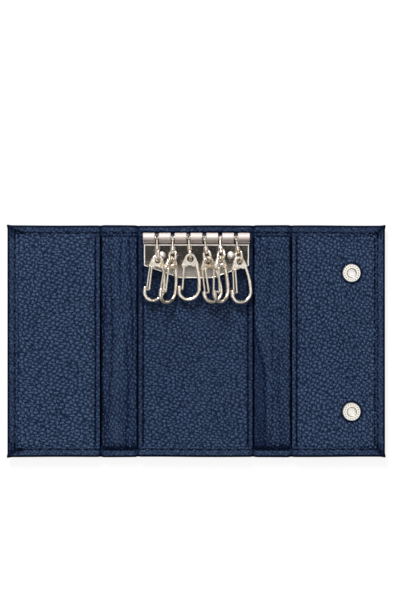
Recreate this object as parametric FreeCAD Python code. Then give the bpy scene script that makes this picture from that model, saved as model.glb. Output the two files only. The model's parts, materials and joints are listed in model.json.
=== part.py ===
import FreeCAD, Part
import math
import os

os.makedirs("parts", exist_ok=True)

# A trifold leather key case, lying open and flat, in millimetres.
# X runs across the folds, Y up the case towards the hook row, Z out of the inner face.
# The origin is under the middle of the case, level with the tips of the press studs.

# Widths between the outer edges and the four folds, and the height of the case
left_flap_width = 41.5
left_spine_width = 16.2
centre_width = 51.4
right_spine_width = 16.6
right_flap_width = 41.7
case_height = 102.7

# Leather and board
cover_thickness = 0.9
board_thickness = 0.6
panel_thickness = 0.8
gusset_thickness = 0.7
hem_thickness = 0.6
hem_width = 5.2
hem_setback = 2.4
corner_radius = 0.9
edge_rounding = 0.55
panel_setback = 0.8
panel_rounding = 0.35
fold_gap = 0.1
lay_gap = 0.1

# How far each fold turns to close the case
left_spine_close = 103.0
left_flap_close = 81.0
right_spine_close = 90.0
right_flap_close = 86.0

# Press studs
socket_from_fold = 26.8
upper_snap_y = 30.2
lower_snap_y = -31.2
socket_radius = 4.15
socket_height = 1.1
socket_bore = 1.95
socket_hub_radius = 2.5
socket_hub_depth = 0.6
socket_floor = 0.25
socket_wall_height = 0.495
socket_shoulder_width = 0.385
socket_mouth_width = 0.275
socket_mouth_depth = 0.22
spring_height = 0.495
spring_wire = 0.5
spring_clearance = 0.05
spring_opening = 40.0
cap_radius = 4.7
cap_height = 1.3
cap_brim = 0.35
cap_post_radius = 1.15
cap_flare_radius = 1.7
cap_flare_height = 0.2
stud_flange_radius = 3.9
stud_flange_thickness = 0.5
stud_neck_radius = 1.5
stud_neck_height = 0.5
stud_head_radius = 1.8
stud_tip_clearance = 0.1
stud_post_radius = 1.0
stud_post_depth = 0.9
stud_post_plate_radius = 3.2
hole_clearance = 0.05

# Hook plate, its barrels and the rod
barrel_count = 7
barrel_radius = 2.05
barrel_gap = 1.65
barrel_chamfer = 0.25
rod_radius = 0.7
rod_fit = 0.02
rod_end_inset = 0.2
rod_from_top_edge = 5.5
barrel_hem_clearance = 0.05
barrel_root_depth = 1.5
row_offset = 0.4
row_overhang = 0.27
plate_thickness = 0.8
plate_width = 46.6
plate_top_drop = 2.9
plate_side_drop = 12.25
plate_bottom_drop = 17.95
plate_foot_width = 14.6
rim_width = 0.5
rim_height = 0.3
rivet_spacing = 30.5
rivet_drop = 7.75
rivet_head_radius = 1.7
rivet_head_height = 1.0
rivet_shank_radius = 0.95
rivet_tail_radius = 1.35
rivet_tail_height = 0.2
washer_radius = 2.4
washer_thickness = 0.4

# Loop on the rod, with its stem
loop_width = 0.9
loop_wall = 0.45
loop_clearance = 0.15
loop_slack = 0.6
stem_radius = 0.45
stem_fit = 0.05
stem_head_radius = 0.75
stem_head_height = 0.4
stem_head_clearance = 0.1

# Swivel ring
ring_wire = 1.05
ring_bend_radius = 1.8
ring_straight = 1.1
ring_from_rod = 8.3
ring_boss_radius = 0.95
ring_boss_height = 1.1

# Hook, seen flat: origin at the middle of its eye, hanging down
hook_wire = 1.7
hook_head_thickness = 1.4
hook_head_rounding = 0.3
eye_radius = 2.45
eye_hole_radius = 1.5
shoulder_x = 2.75
shoulder_drop = 2.3
shoulder_radius = 0.95
arch_radius = 2.1
arch_drop = 2.9
hook_reach = 4.5
hook_widest_drop = 12.6
hook_bend_drop = 13.0
hook_bend_radius = 4.95
nose_bend_radius = 3.75
nose_straight = 1.4

# Wire gate of the hook
pivot_x = -2.6
pivot_drop = 2.95
pivot_boss_radius = 1.15
gate_wire = 0.9
gate_fit = 0.05
gate_length = 10.6
gate_pivot_half_width = 1.4
gate_foot_half_width = 1.8
gate_corner_radius = 0.6
gate_pin_end = 0.25
gate_nose_clearance = 0.1

# How each hook lies, left to right. Angles are in degrees: a lean to the right, a pitch that lifts the
# lower end and a turn that lifts the left side are positive. eye_angle and eye_push place the eye on
# the ring: round its lower bend to the right, and up into it or down from it.
hook_poses = [
    dict(slack=loop_slack, neck_lean=1.0, neck_pitch=6.0, ring_turn=-72.0, eye_angle=0.0, eye_push=0.0,
         lean=-6.5, pitch=-1.0, turn=20.0),
    dict(slack=0.0, neck_lean=0.0, neck_pitch=14.0, ring_turn=-40.0, eye_angle=-20.0, eye_push=-0.6,
         lean=-7.3, pitch=0.5, turn=44.0),
    dict(slack=loop_slack, neck_lean=5.0, neck_pitch=6.0, ring_turn=-88.0, eye_angle=0.0, eye_push=0.5,
         lean=-2.7, pitch=-0.5, turn=0.0),
    dict(slack=0.0, neck_lean=8.5, neck_pitch=8.0, ring_turn=-40.0, eye_angle=0.0, eye_push=-0.2,
         lean=8.5, pitch=-1.0, turn=28.0),
    dict(slack=0.0, neck_lean=3.0, neck_pitch=22.0, ring_turn=-40.0, eye_angle=-20.0, eye_push=-0.62,
         lean=1.0, pitch=-0.5, turn=46.0),
    dict(slack=0.0, neck_lean=9.0, neck_pitch=7.5, ring_turn=-45.0, eye_angle=-15.0, eye_push=-0.3,
         lean=4.3, pitch=-1.5, turn=20.0),
]

# Places across the case
case_width = left_flap_width + left_spine_width + centre_width + right_spine_width + right_flap_width
left_edge = -case_width / 2
left_outer_fold = left_edge + left_flap_width
left_inner_fold = left_outer_fold + left_spine_width
right_inner_fold = left_inner_fold + centre_width
right_outer_fold = right_inner_fold + right_spine_width
right_edge = right_outer_fold + right_flap_width
top_edge = case_height / 2

# Thickness of the spines and of the stiff panels. The folds bend at the gussets' inner face.
spine_thickness = cover_thickness + gusset_thickness
panel_rise = board_thickness + panel_thickness - gusset_thickness


def spine_end(fold, width, close, side):
    """Where the outer fold of a spine lies, in X and in height over the folds, when it is closed."""
    angle = math.radians(close)
    return FreeCAD.Vector(fold + side * width * math.cos(angle), 0, width * math.sin(angle))


# The closed case: a socket on the right flap meets its stud on the left flap
left_turn = math.radians(left_spine_close + left_flap_close)
right_turn = math.radians(right_spine_close + right_flap_close)
left_along = FreeCAD.Vector(-math.cos(left_turn), 0, math.sin(left_turn))
left_out = FreeCAD.Vector(-math.sin(left_turn), 0, -math.cos(left_turn))
right_along = FreeCAD.Vector(math.cos(right_turn), 0, math.sin(right_turn))
right_in = FreeCAD.Vector(-math.sin(right_turn), 0, math.cos(right_turn))
closed_socket = spine_end(right_inner_fold, right_spine_width, right_spine_close, 1)
closed_socket = closed_socket + right_along * socket_from_fold + right_in * panel_rise
closed_reach = closed_socket - spine_end(left_inner_fold, left_spine_width, left_spine_close, -1)
stud_from_fold = closed_reach.dot(left_along)
snap_gap = closed_reach.dot(left_out) - spine_thickness
stud_height = snap_gap - stud_tip_clearance
socket_x = right_outer_fold + socket_from_fold
stud_x = left_outer_fold - stud_from_fold
snap_ys = [upper_snap_y, lower_snap_y]

# Heights
cover_bottom = stud_height
cover_top = cover_bottom + cover_thickness
fold_height = cover_bottom + spine_thickness
board_top = cover_top + board_thickness
panel_top = board_top + panel_thickness
drill_top = 2 * panel_top

# Hook row
row_x = (left_inner_fold + right_inner_fold) / 2 + row_offset
row_length = plate_width + 2 * row_overhang
row_pitch = (row_length + barrel_gap) / barrel_count
barrel_length = row_pitch - barrel_gap
rod_y = top_edge - rod_from_top_edge
rod_z = panel_top + hem_thickness + barrel_hem_clearance + barrel_radius
rivet_y = rod_y - rivet_drop
rivet_xs = [row_x - rivet_spacing / 2, row_x + rivet_spacing / 2]
loop_hole_radius = rod_radius + loop_clearance
loop_radius = loop_hole_radius + loop_wall

# Coordinates closer than this are the same place
same_place = 1e-6

up = FreeCAD.Vector(0, 0, 1)
along_x = FreeCAD.Vector(1, 0, 0)
along_y = FreeCAD.Vector(0, 1, 0)


def block(x_low, x_high, y_low, y_high, z_low, z_high):
    """Box between two corners."""
    corner = FreeCAD.Vector(x_low, y_low, z_low)
    return Part.makeBox(x_high - x_low, y_high - y_low, z_high - z_low, corner)


def post(x, y, z_low, z_high, radius):
    """Upright cylinder."""
    return Part.makeCylinder(radius, z_high - z_low, FreeCAD.Vector(x, y, z_low), up)


def turned(points):
    """Solid of revolution about Z from (radius, height) points, joined by straight lines."""
    corners = [FreeCAD.Vector(radius, 0, height) for radius, height in points]
    face = Part.Face(Part.makePolygon(corners + corners[:1]))
    return face.revolve(FreeCAD.Vector(), up, 360)


def domed(radius, height):
    """Spherical cap that stands on Z = 0."""
    ball_radius = (radius ** 2 + height ** 2) / (2 * height)
    ball = Part.makeSphere(ball_radius, FreeCAD.Vector(0, 0, height - ball_radius))
    return ball.common(post(0, 0, 0, height, radius * 2))


def at(shape, x, y, z, flipped=False):
    """Copy of a shape moved to a place, upside down if flipped."""
    moved = shape.copy()
    if flipped:
        moved.rotate(FreeCAD.Vector(), along_x, 180)
    moved.translate(FreeCAD.Vector(x, y, z))
    return moved


def is_at(value, places):
    """Whether a coordinate is one of the given places."""
    return any(abs(value - place) < same_place for place in places)


def on_edge(edge, side_x, side_y, height):
    """Whether an edge runs along a side of the case, or round its corner, at the given height."""
    middle = edge.CenterOfMass
    box = edge.BoundBox
    level = is_at(box.ZMin, [height]) and is_at(box.ZMax, [height])
    beside = any(abs(middle.x - x) < corner_radius / 2 for x in side_x)
    return level and (beside or abs(abs(middle.y) - side_y) < corner_radius / 2)


def cover_piece(x_low, x_high, filling, outer_x):
    """One stretch of the outer leather: a sheet whose outer edges turn over onto the filling.

    outer_x lists the sides that are outer edges of the case. The other sides end at a fold.
    """
    hem_bottom = cover_top + filling
    hem_top = hem_bottom + hem_thickness
    sheet_low = x_low if x_low in outer_x else x_low + fold_gap
    sheet_high = x_high if x_high in outer_x else x_high - fold_gap
    body = block(sheet_low, sheet_high, -top_edge, top_edge, cover_bottom, hem_top)
    if outer_x:
        upright = [e for e in body.Edges if e.BoundBox.ZLength > filling and is_at(e.CenterOfMass.x, outer_x)]
        body = body.makeFillet(corner_radius, upright)
    for height in (cover_bottom, hem_top):
        body = body.makeFillet(edge_rounding, [e for e in body.Edges if on_edge(e, outer_x, top_edge, height)])
    pocket_low = x_low + cover_thickness if x_low in outer_x else x_low
    pocket_high = x_high - cover_thickness if x_high in outer_x else x_high
    pocket_y = top_edge - cover_thickness
    body = body.cut(block(pocket_low, pocket_high, -pocket_y, pocket_y, cover_top, hem_bottom))
    window_low = x_low + hem_width if x_low in outer_x else x_low
    window_high = x_high - hem_width if x_high in outer_x else x_high
    window_y = top_edge - hem_width
    body = body.cut(block(window_low, window_high, -window_y, window_y, cover_top, hem_top))
    for fold, inward in ((x_low, 1), (x_high, -1)):
        if fold not in outer_x:
            ends = sorted((fold, fold + inward * hem_setback))
            body = body.cut(block(*ends, -top_edge, top_edge, cover_top, hem_top))
    return body


def filling_piece(x_low, x_high, outer_x, setback, z_low, z_high):
    """One flat layer inside the cover, laid between its turned edges and stopped short of the folds."""
    low = x_low + cover_thickness + lay_gap if x_low in outer_x else x_low + setback
    high = x_high - cover_thickness - lay_gap if x_high in outer_x else x_high - setback
    half_height = top_edge - cover_thickness - lay_gap
    return block(low, high, -half_height, half_height, z_low, z_high)


def round_fold_edges(panel, outer_x):
    """Round the upper edges of a panel beside the folds, where its leather is turned in."""
    sides = [panel.BoundBox.XMin, panel.BoundBox.XMax]
    free = [x for x in sides if all(abs(x - edge) > hem_width for edge in outer_x)]
    top = panel.BoundBox.ZMax
    edges = [
        e for e in panel.Edges
        if e.BoundBox.YLength > hem_width and is_at(e.CenterOfMass.z, [top]) and is_at(e.CenterOfMass.x, free)
    ]
    return panel.makeFillet(panel_rounding, edges)


def drilled(shape, xs, ys, radius):
    """Shape with upright round holes through it."""
    for x in xs:
        for y in ys:
            shape = shape.cut(post(x, y, 0, drill_top, radius))
    return shape


def snap_socket():
    """Socket of a press stud: a round flange with a grooved bore and a hub that sits in the leather."""
    hub_bottom = -socket_hub_depth
    ring = turned([
        (socket_bore, hub_bottom),
        (socket_hub_radius, hub_bottom),
        (socket_hub_radius, 0),
        (socket_radius, 0),
        (socket_radius, socket_wall_height),
        (socket_radius - socket_shoulder_width, socket_height),
        (socket_bore + socket_mouth_width, socket_height),
        (socket_bore, socket_height - socket_mouth_depth),
    ])
    floor = post(0, 0, hub_bottom, hub_bottom + socket_floor, socket_hub_radius)
    floor = floor.cut(post(0, 0, hub_bottom, 0, cap_post_radius + hole_clearance))
    groove_radius = socket_bore + spring_wire
    groove_half = spring_wire / 2 + spring_clearance
    groove = post(0, 0, spring_height - groove_half, spring_height + groove_half, groove_radius)
    return ring.fuse(floor).cut(groove).removeSplitter()


def socket_spring():
    """Split wire ring that lies in the socket's groove."""
    middle_radius = socket_bore + spring_wire / 2 - spring_clearance
    centre = FreeCAD.Vector(0, 0, spring_height)
    return Part.makeTorus(middle_radius, spring_wire / 2, centre, up, -180, 180, 360 - spring_opening)


def snap_cap():
    """Domed cap whose post passes up through the flap and is flared over the socket's floor."""
    leather = panel_top - cover_bottom
    flare_bottom = leather - socket_hub_depth + socket_floor
    dome = at(domed(cap_radius, cap_height - cap_brim), 0, 0, -cap_brim, flipped=True)
    brim = post(0, 0, -cap_brim, 0, cap_radius)
    shank = post(0, 0, -cap_brim, flare_bottom, cap_post_radius)
    flare = post(0, 0, flare_bottom, flare_bottom + cap_flare_height, cap_flare_radius)
    return brim.fuse([dome, shank, flare]).removeSplitter()


def snap_stud():
    """Stud of a press stud, standing on its flange, bored from below for its post."""
    neck_top = stud_flange_thickness + stud_neck_height
    head_middle = (neck_top + stud_height) / 2
    body = turned([
        (0, 0),
        (stud_flange_radius, 0),
        (stud_flange_radius, stud_flange_thickness / 2),
        (stud_flange_radius - stud_flange_thickness, stud_flange_thickness),
        (stud_neck_radius, stud_flange_thickness),
        (stud_neck_radius, neck_top),
        (stud_head_radius, head_middle),
        (stud_neck_radius, stud_height),
        (0, stud_height),
    ])
    return body.cut(post(0, 0, 0, stud_post_depth, stud_post_radius))


def stud_post():
    """Post of a stud: a plate in the board's cut-out and a shank down through the cover."""
    plate = post(0, 0, 0, board_thickness, stud_post_plate_radius)
    return plate.fuse(post(0, 0, -cover_thickness - stud_post_depth, 0, stud_post_radius)).removeSplitter()


def barrel_start(number):
    """X where a barrel of the hook row starts."""
    return row_x - row_length / 2 + number * row_pitch


def hook_plate():
    """Hook plate: a chamfered sheet with a raised rim, whose top edge is rolled into barrels."""
    half = plate_width / 2
    foot = plate_foot_width / 2
    top = rod_y - plate_top_drop
    outline = [
        (-half, top),
        (half, top),
        (half, rod_y - plate_side_drop),
        (foot, rod_y - plate_bottom_drop),
        (-foot, rod_y - plate_bottom_drop),
        (-half, rod_y - plate_side_drop),
    ]
    corners = [FreeCAD.Vector(row_x + x, y, panel_top) for x, y in outline]
    face = Part.Face(Part.makePolygon(corners + corners[:1]))
    sheet = face.extrude(up * plate_thickness)
    rim = face.cut(face.makeOffset2D(-rim_width)).extrude(up * (plate_thickness + rim_height))
    plate = sheet.fuse(rim)
    loop_reach = loop_radius + loop_slack + loop_clearance
    for number in range(barrel_count):
        x = barrel_start(number)
        axis_point = FreeCAD.Vector(x, rod_y, rod_z)
        barrel = Part.makeCylinder(barrel_radius, barrel_length, axis_point, along_x)
        barrel = barrel.makeChamfer(barrel_chamfer, [e for e in barrel.Edges if e.BoundBox.XLength < barrel_chamfer])
        web = block(x, x + barrel_length, top - rim_width, rod_y, panel_top, panel_top + plate_thickness)
        root_top = rod_z - barrel_radius + plate_thickness
        root = block(x, x + barrel_length, rod_y - barrel_root_depth, rod_y, panel_top, root_top)
        plate = plate.fuse([barrel, web, root])
    for number in range(barrel_count - 1):
        x = barrel_start(number) + barrel_length
        slot = block(x, x + barrel_gap, rod_y - loop_reach, rod_y + barrel_radius, panel_top, rod_z)
        plate = plate.cut(slot)
    bore_start = FreeCAD.Vector(row_x - row_length / 2, rod_y, rod_z)
    plate = plate.cut(Part.makeCylinder(rod_radius + rod_fit, row_length, bore_start, along_x))
    return drilled(plate, rivet_xs, [rivet_y], rivet_shank_radius + hole_clearance).removeSplitter()


def hook_rod():
    """Rod through the barrels of the hook plate."""
    start = FreeCAD.Vector(row_x - row_length / 2 + rod_end_inset, rod_y, rod_z)
    return Part.makeCylinder(rod_radius, row_length - 2 * rod_end_inset, start, along_x)


def plate_rivet():
    """Domed rivet through plate, panel and washer, clinched under the washer. Z = 0 is the plate's face."""
    washer_bottom = -plate_thickness - panel_thickness - washer_thickness
    shank = post(0, 0, washer_bottom, 0, rivet_shank_radius)
    tail = post(0, 0, washer_bottom - rivet_tail_height, washer_bottom, rivet_tail_radius)
    return domed(rivet_head_radius, rivet_head_height).fuse([shank, tail]).removeSplitter()


def rivet_washer():
    """Washer that spreads a rivet's pull over the panel's back. Z = 0 is the panel's back."""
    disc = post(0, 0, -washer_thickness, 0, washer_radius)
    return disc.cut(post(0, 0, -washer_thickness, 0, rivet_shank_radius + hole_clearance))


def slot_shape(radius, length, width):
    """Bar with round ends in the YZ plane, from Y = 0 down by length, centred on X."""
    bar = block(-width / 2, width / 2, -length, 0, -radius, radius)
    for y in (0, -length):
        bar = bar.fuse(Part.makeCylinder(radius, width, FreeCAD.Vector(-width / 2, y, 0), along_x))
    return bar


def rod_loop():
    """Slotted loop that hangs on the rod, with a headed stem for the ring. Origin: top of the slot."""
    body = slot_shape(loop_radius, loop_slack, loop_width)
    ring_inside = math.sqrt((ring_bend_radius - ring_wire / 2) ** 2 - stem_head_radius ** 2)
    head_top = -ring_from_rod + ring_straight / 2 + ring_inside - stem_head_clearance
    stem_top = -loop_slack - loop_hole_radius
    stem = Part.makeCylinder(stem_radius, stem_top - head_top, FreeCAD.Vector(0, head_top, 0), along_y)
    head_bottom = FreeCAD.Vector(0, head_top - stem_head_height, 0)
    head = Part.makeCylinder(stem_head_radius, stem_head_height, head_bottom, along_y)
    body = body.fuse([stem, head])
    return body.cut(slot_shape(loop_hole_radius, loop_slack, 2 * loop_width)).removeSplitter()


def swept(path, radius):
    """Round wire along a path of edges."""
    wire = Part.Wire(path)
    start = wire.Edges[0].valueAt(wire.Edges[0].FirstParameter)
    direction = wire.Edges[0].tangentAt(wire.Edges[0].FirstParameter)
    profile = Part.Wire([Part.Circle(start, direction, radius).toShape()])
    return wire.makePipeShell([profile], True, False)


def arc(start, middle, end):
    """Arc through three points."""
    return Part.Arc(start, middle, end).toShape()


def line(start, end):
    """Straight edge."""
    return Part.LineSegment(start, end).toShape()


def swivel_ring():
    """Oval ring with a bored boss on top. Origin: middle of the ring, which lies flat."""
    half = ring_straight / 2
    bend = ring_bend_radius
    wire_radius = ring_wire / 2
    upper = Part.makeTorus(bend, wire_radius, FreeCAD.Vector(0, half, 0), up, -180, 180, 180)
    lower = upper.mirror(FreeCAD.Vector(), along_y)
    sides = [
        Part.makeCylinder(wire_radius, ring_straight, FreeCAD.Vector(x, -half, 0), along_y)
        for x in (-bend, bend)
    ]
    crown = half + bend
    boss_start = FreeCAD.Vector(0, crown, 0)
    boss = Part.makeCylinder(ring_boss_radius, wire_radius + ring_boss_height, boss_start, along_y)
    ring = upper.fuse([lower, boss] + sides)
    bore_start = FreeCAD.Vector(0, half, 0)
    bore = Part.makeCylinder(stem_radius + stem_fit, bend + ring_wire + ring_boss_height, bore_start, along_y)
    return ring.cut(bore).removeSplitter()


def bar_between(first, second, first_radius, second_radius, thickness):
    """Flat bar between two round ends, as the outline that wraps both."""
    span = second - first
    lift = math.asin((first_radius - second_radius) / span.Length)
    heading = math.atan2(span.y, span.x)
    corners = []
    for side in (1, -1):
        angle = heading + side * (math.pi / 2 - lift)
        out = FreeCAD.Vector(math.cos(angle), math.sin(angle), 0)
        pair = [first + out * first_radius, second + out * second_radius]
        corners += pair if side == 1 else pair[::-1]
    down = FreeCAD.Vector(0, 0, -thickness / 2)
    face = Part.Face(Part.makePolygon([c + down for c in corners + corners[:1]]))
    bar = face.extrude(up * thickness)
    ends = [
        Part.makeCylinder(first_radius, thickness, first + down, up),
        Part.makeCylinder(second_radius, thickness, second + down, up),
    ]
    return bar.fuse(ends)


def hook():
    """Pear-shaped hook: a flat arched head with an eye and a gate pivot, and a round limb that ends in a nose."""
    eye = FreeCAD.Vector()
    pivot = FreeCAD.Vector(pivot_x, -pivot_drop, 0)
    shoulder = FreeCAD.Vector(shoulder_x, -shoulder_drop, 0)
    head = bar_between(eye, pivot, eye_radius, pivot_boss_radius, hook_head_thickness)
    head = head.fuse([
        bar_between(eye, shoulder, eye_radius, shoulder_radius, hook_head_thickness),
        bar_between(pivot, shoulder, pivot_boss_radius, shoulder_radius, hook_head_thickness),
    ]).removeSplitter()
    arch_middle = -arch_drop - arch_radius
    head = head.cut(post(0, arch_middle, -hook_head_thickness, hook_head_thickness, arch_radius))
    rims = [e for e in head.Edges if e.BoundBox.ZLength < hook_head_rounding]
    head = head.makeFillet(hook_head_rounding, rims)

    widest = FreeCAD.Vector(hook_reach, -hook_widest_drop, 0)
    rise = hook_widest_drop - shoulder_drop
    inset = hook_reach - shoulder_x
    limb_radius = (rise ** 2 + inset ** 2) / (2 * inset)
    half_turn = math.asin(rise / limb_radius) / 2
    limb_middle = widest + FreeCAD.Vector(
        limb_radius * (math.cos(half_turn) - 1), limb_radius * math.sin(half_turn), 0
    )
    bend_start = FreeCAD.Vector(hook_reach, -hook_bend_drop, 0)
    bottom = FreeCAD.Vector(hook_reach - hook_bend_radius, -hook_bend_drop - hook_bend_radius, 0)
    diagonal = math.sqrt(0.5)
    bend_middle = bend_start + FreeCAD.Vector(diagonal - 1, -diagonal, 0) * hook_bend_radius
    nose_start = bottom + FreeCAD.Vector(-1, 1, 0) * nose_bend_radius
    nose_middle = bottom + FreeCAD.Vector(-diagonal, 1 - diagonal, 0) * nose_bend_radius
    nose_end = nose_start + along_y * nose_straight
    limb = swept([
        arc(shoulder, limb_middle, widest),
        line(widest, bend_start),
        arc(bend_start, bend_middle, bottom),
        arc(bottom, nose_middle, nose_start),
        line(nose_start, nose_end),
    ], hook_wire / 2)
    tip = Part.makeSphere(hook_wire / 2, nose_end)
    body = head.fuse([limb, tip])
    body = body.cut(post(0, 0, -hook_wire, hook_wire, eye_hole_radius))
    pin_hole = gate_wire / 2 + gate_fit
    return body.cut(post(pivot.x, pivot.y, -hook_wire, hook_wire, pin_hole)).removeSplitter()


def nose_inner_x():
    """X of the inner side of the hook's nose, where the gate's foot rests."""
    return hook_reach - hook_bend_radius - nose_bend_radius + hook_wire / 2


def hook_gate():
    """Wire gate bent to a U: pins in the pivot, legs on both sides of the hook, a foot inside the nose."""
    pivot = FreeCAD.Vector(pivot_x, -pivot_drop, 0)
    foot_x = nose_inner_x() + gate_wire / 2 + gate_nose_clearance
    swing = math.asin((foot_x - pivot_x) / gate_length)
    along = FreeCAD.Vector(math.sin(swing), -math.cos(swing), 0)
    corners = [
        pivot + up * gate_pin_end,
        pivot + up * gate_pivot_half_width,
        pivot + along * gate_length + up * gate_foot_half_width,
        pivot + along * gate_length - up * gate_foot_half_width,
        pivot - up * gate_pivot_half_width,
        pivot - up * gate_pin_end,
    ]
    return swept(rounded_path(corners, gate_corner_radius), gate_wire / 2)


def rounded_path(points, radius):
    """Edges through points, with each inner point turned by an arc of the given radius."""
    edges = []
    last = points[0]
    for before, here, after in zip(points, points[1:], points[2:]):
        back = (before - here).normalize()
        ahead = (after - here).normalize()
        half_angle = back.getAngle(ahead) / 2
        reach = radius / math.tan(half_angle)
        inward = (back + ahead).normalize()
        middle = here + inward * (radius / math.sin(half_angle) - radius)
        edges.append(line(last, here + back * reach))
        edges.append(arc(here + back * reach, middle, here + ahead * reach))
        last = here + ahead * reach
    edges.append(line(last, points[-1]))
    return edges


def turn(axis, degrees):
    """Placement that turns about an axis through the origin."""
    return FreeCAD.Placement(FreeCAD.Vector(), FreeCAD.Rotation(axis, degrees))


def shift(x, y, z):
    """Placement that moves."""
    return FreeCAD.Placement(FreeCAD.Vector(x, y, z), FreeCAD.Rotation())


def hook_frames(number):
    """Placements of the loop, the ring and the hook of one place in the hook row."""
    pose = hook_poses[number]
    gap_x = barrel_start(number) + barrel_length + barrel_gap / 2
    neck = shift(gap_x, rod_y, rod_z) * turn(up, pose["neck_lean"]) * turn(along_x, -pose["neck_pitch"])
    loop = neck * shift(0, pose["slack"], 0)
    ring = loop * shift(0, -ring_from_rod, 0) * turn(along_y, pose["ring_turn"])
    angle = math.radians(pose["eye_angle"])
    eye_x = ring_bend_radius * math.sin(angle)
    eye_y = pose["eye_push"] - ring_straight / 2 - ring_bend_radius * math.cos(angle)
    eye = ring.multVec(FreeCAD.Vector(eye_x, eye_y, 0))
    lie = turn(up, pose["lean"]) * turn(along_x, -pose["pitch"]) * turn(along_y, pose["turn"])
    return loop, ring, shift(eye.x, eye.y, eye.z) * lie


def placed(shape, placement):
    """Copy of a shape at a placement."""
    moved = shape.copy()
    moved.Placement = placement
    return moved


def save(name, shape):
    """Write one node."""
    shape.exportStep("parts/" + name + ".step")


nodes = {}

# Outer leather, from the left edge to the right edge
stiff_filling = board_thickness + panel_thickness
nodes["left_flap_cover"] = drilled(
    cover_piece(left_edge, left_outer_fold, stiff_filling, [left_edge]),
    [stud_x], snap_ys, stud_post_radius + hole_clearance,
)
nodes["left_spine_cover"] = cover_piece(left_outer_fold, left_inner_fold, gusset_thickness, [])
nodes["centre_cover"] = cover_piece(left_inner_fold, right_inner_fold, stiff_filling, [])
nodes["right_spine_cover"] = cover_piece(right_inner_fold, right_outer_fold, gusset_thickness, [])
nodes["right_flap_cover"] = drilled(
    cover_piece(right_outer_fold, right_edge, stiff_filling, [right_edge]),
    [socket_x], snap_ys, cap_post_radius + hole_clearance,
)

# Stiffener boards, cut out for the stud posts, the rivets' washers and the cap posts
left_board = filling_piece(left_edge, left_outer_fold, [left_edge], panel_setback, cover_top, board_top)
nodes["left_flap_board"] = drilled(left_board, [stud_x], snap_ys, stud_post_plate_radius + hole_clearance)
centre_board = filling_piece(left_inner_fold, right_inner_fold, [], panel_setback, cover_top, board_top)
nodes["centre_board"] = drilled(centre_board, rivet_xs, [rivet_y], washer_radius + hole_clearance)
right_board = filling_piece(right_outer_fold, right_edge, [right_edge], panel_setback, cover_top, board_top)
nodes["right_flap_board"] = drilled(right_board, [socket_x], snap_ys, cap_post_radius + hole_clearance)

# Inner leather: the three panels and the two soft gussets
left_panel = filling_piece(left_edge, left_outer_fold, [left_edge], panel_setback, board_top, panel_top)
nodes["left_flap_panel"] = round_fold_edges(left_panel, [left_edge])
centre_panel = filling_piece(left_inner_fold, right_inner_fold, [], panel_setback, board_top, panel_top)
centre_panel = round_fold_edges(centre_panel, [])
nodes["centre_panel"] = drilled(centre_panel, rivet_xs, [rivet_y], rivet_shank_radius + hole_clearance)
right_panel = filling_piece(right_outer_fold, right_edge, [right_edge], panel_setback, board_top, panel_top)
right_panel = round_fold_edges(right_panel, [right_edge])
nodes["right_flap_panel"] = drilled(right_panel, [socket_x], snap_ys, socket_hub_radius + hole_clearance)
nodes["left_gusset"] = filling_piece(left_outer_fold, left_inner_fold, [], lay_gap, cover_top, fold_height)
nodes["right_gusset"] = filling_piece(right_inner_fold, right_outer_fold, [], lay_gap, cover_top, fold_height)

# Press studs: sockets, springs and caps on the right flap, studs and posts on the left flap
nodes["snap_sockets"] = Part.Compound([at(snap_socket(), socket_x, y, panel_top) for y in snap_ys])
nodes["socket_springs"] = Part.Compound([at(socket_spring(), socket_x, y, panel_top) for y in snap_ys])
nodes["snap_caps"] = Part.Compound([at(snap_cap(), socket_x, y, cover_bottom) for y in snap_ys])
nodes["snap_studs"] = Part.Compound([at(snap_stud(), stud_x, y, cover_bottom, flipped=True) for y in snap_ys])
nodes["stud_posts"] = Part.Compound([at(stud_post(), stud_x, y, cover_top) for y in snap_ys])

# Hook plate, its rod and its rivets
plate_top = panel_top + plate_thickness
nodes["hook_plate"] = hook_plate()
nodes["hook_rod"] = hook_rod()
nodes["plate_rivets"] = Part.Compound([at(plate_rivet(), x, rivet_y, plate_top) for x in rivet_xs])
nodes["rivet_washers"] = Part.Compound([at(rivet_washer(), x, rivet_y, board_top) for x in rivet_xs])

# Six hooks on the rod
for number in range(barrel_count - 1):
    loop_frame, ring_frame, hook_frame = hook_frames(number)
    label = "_" + str(number + 1)
    nodes["rod_loop" + label] = placed(rod_loop(), loop_frame)
    nodes["swivel_ring" + label] = placed(swivel_ring(), ring_frame)
    nodes["hook" + label] = placed(hook(), hook_frame)
    nodes["hook_gate" + label] = placed(hook_gate(), hook_frame)

for name, shape in nodes.items():
    save(name, shape)
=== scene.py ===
"""Key case in navy pebbled leather, lying open, with a row of six swivel hooks across its middle."""
import json
import math

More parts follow.
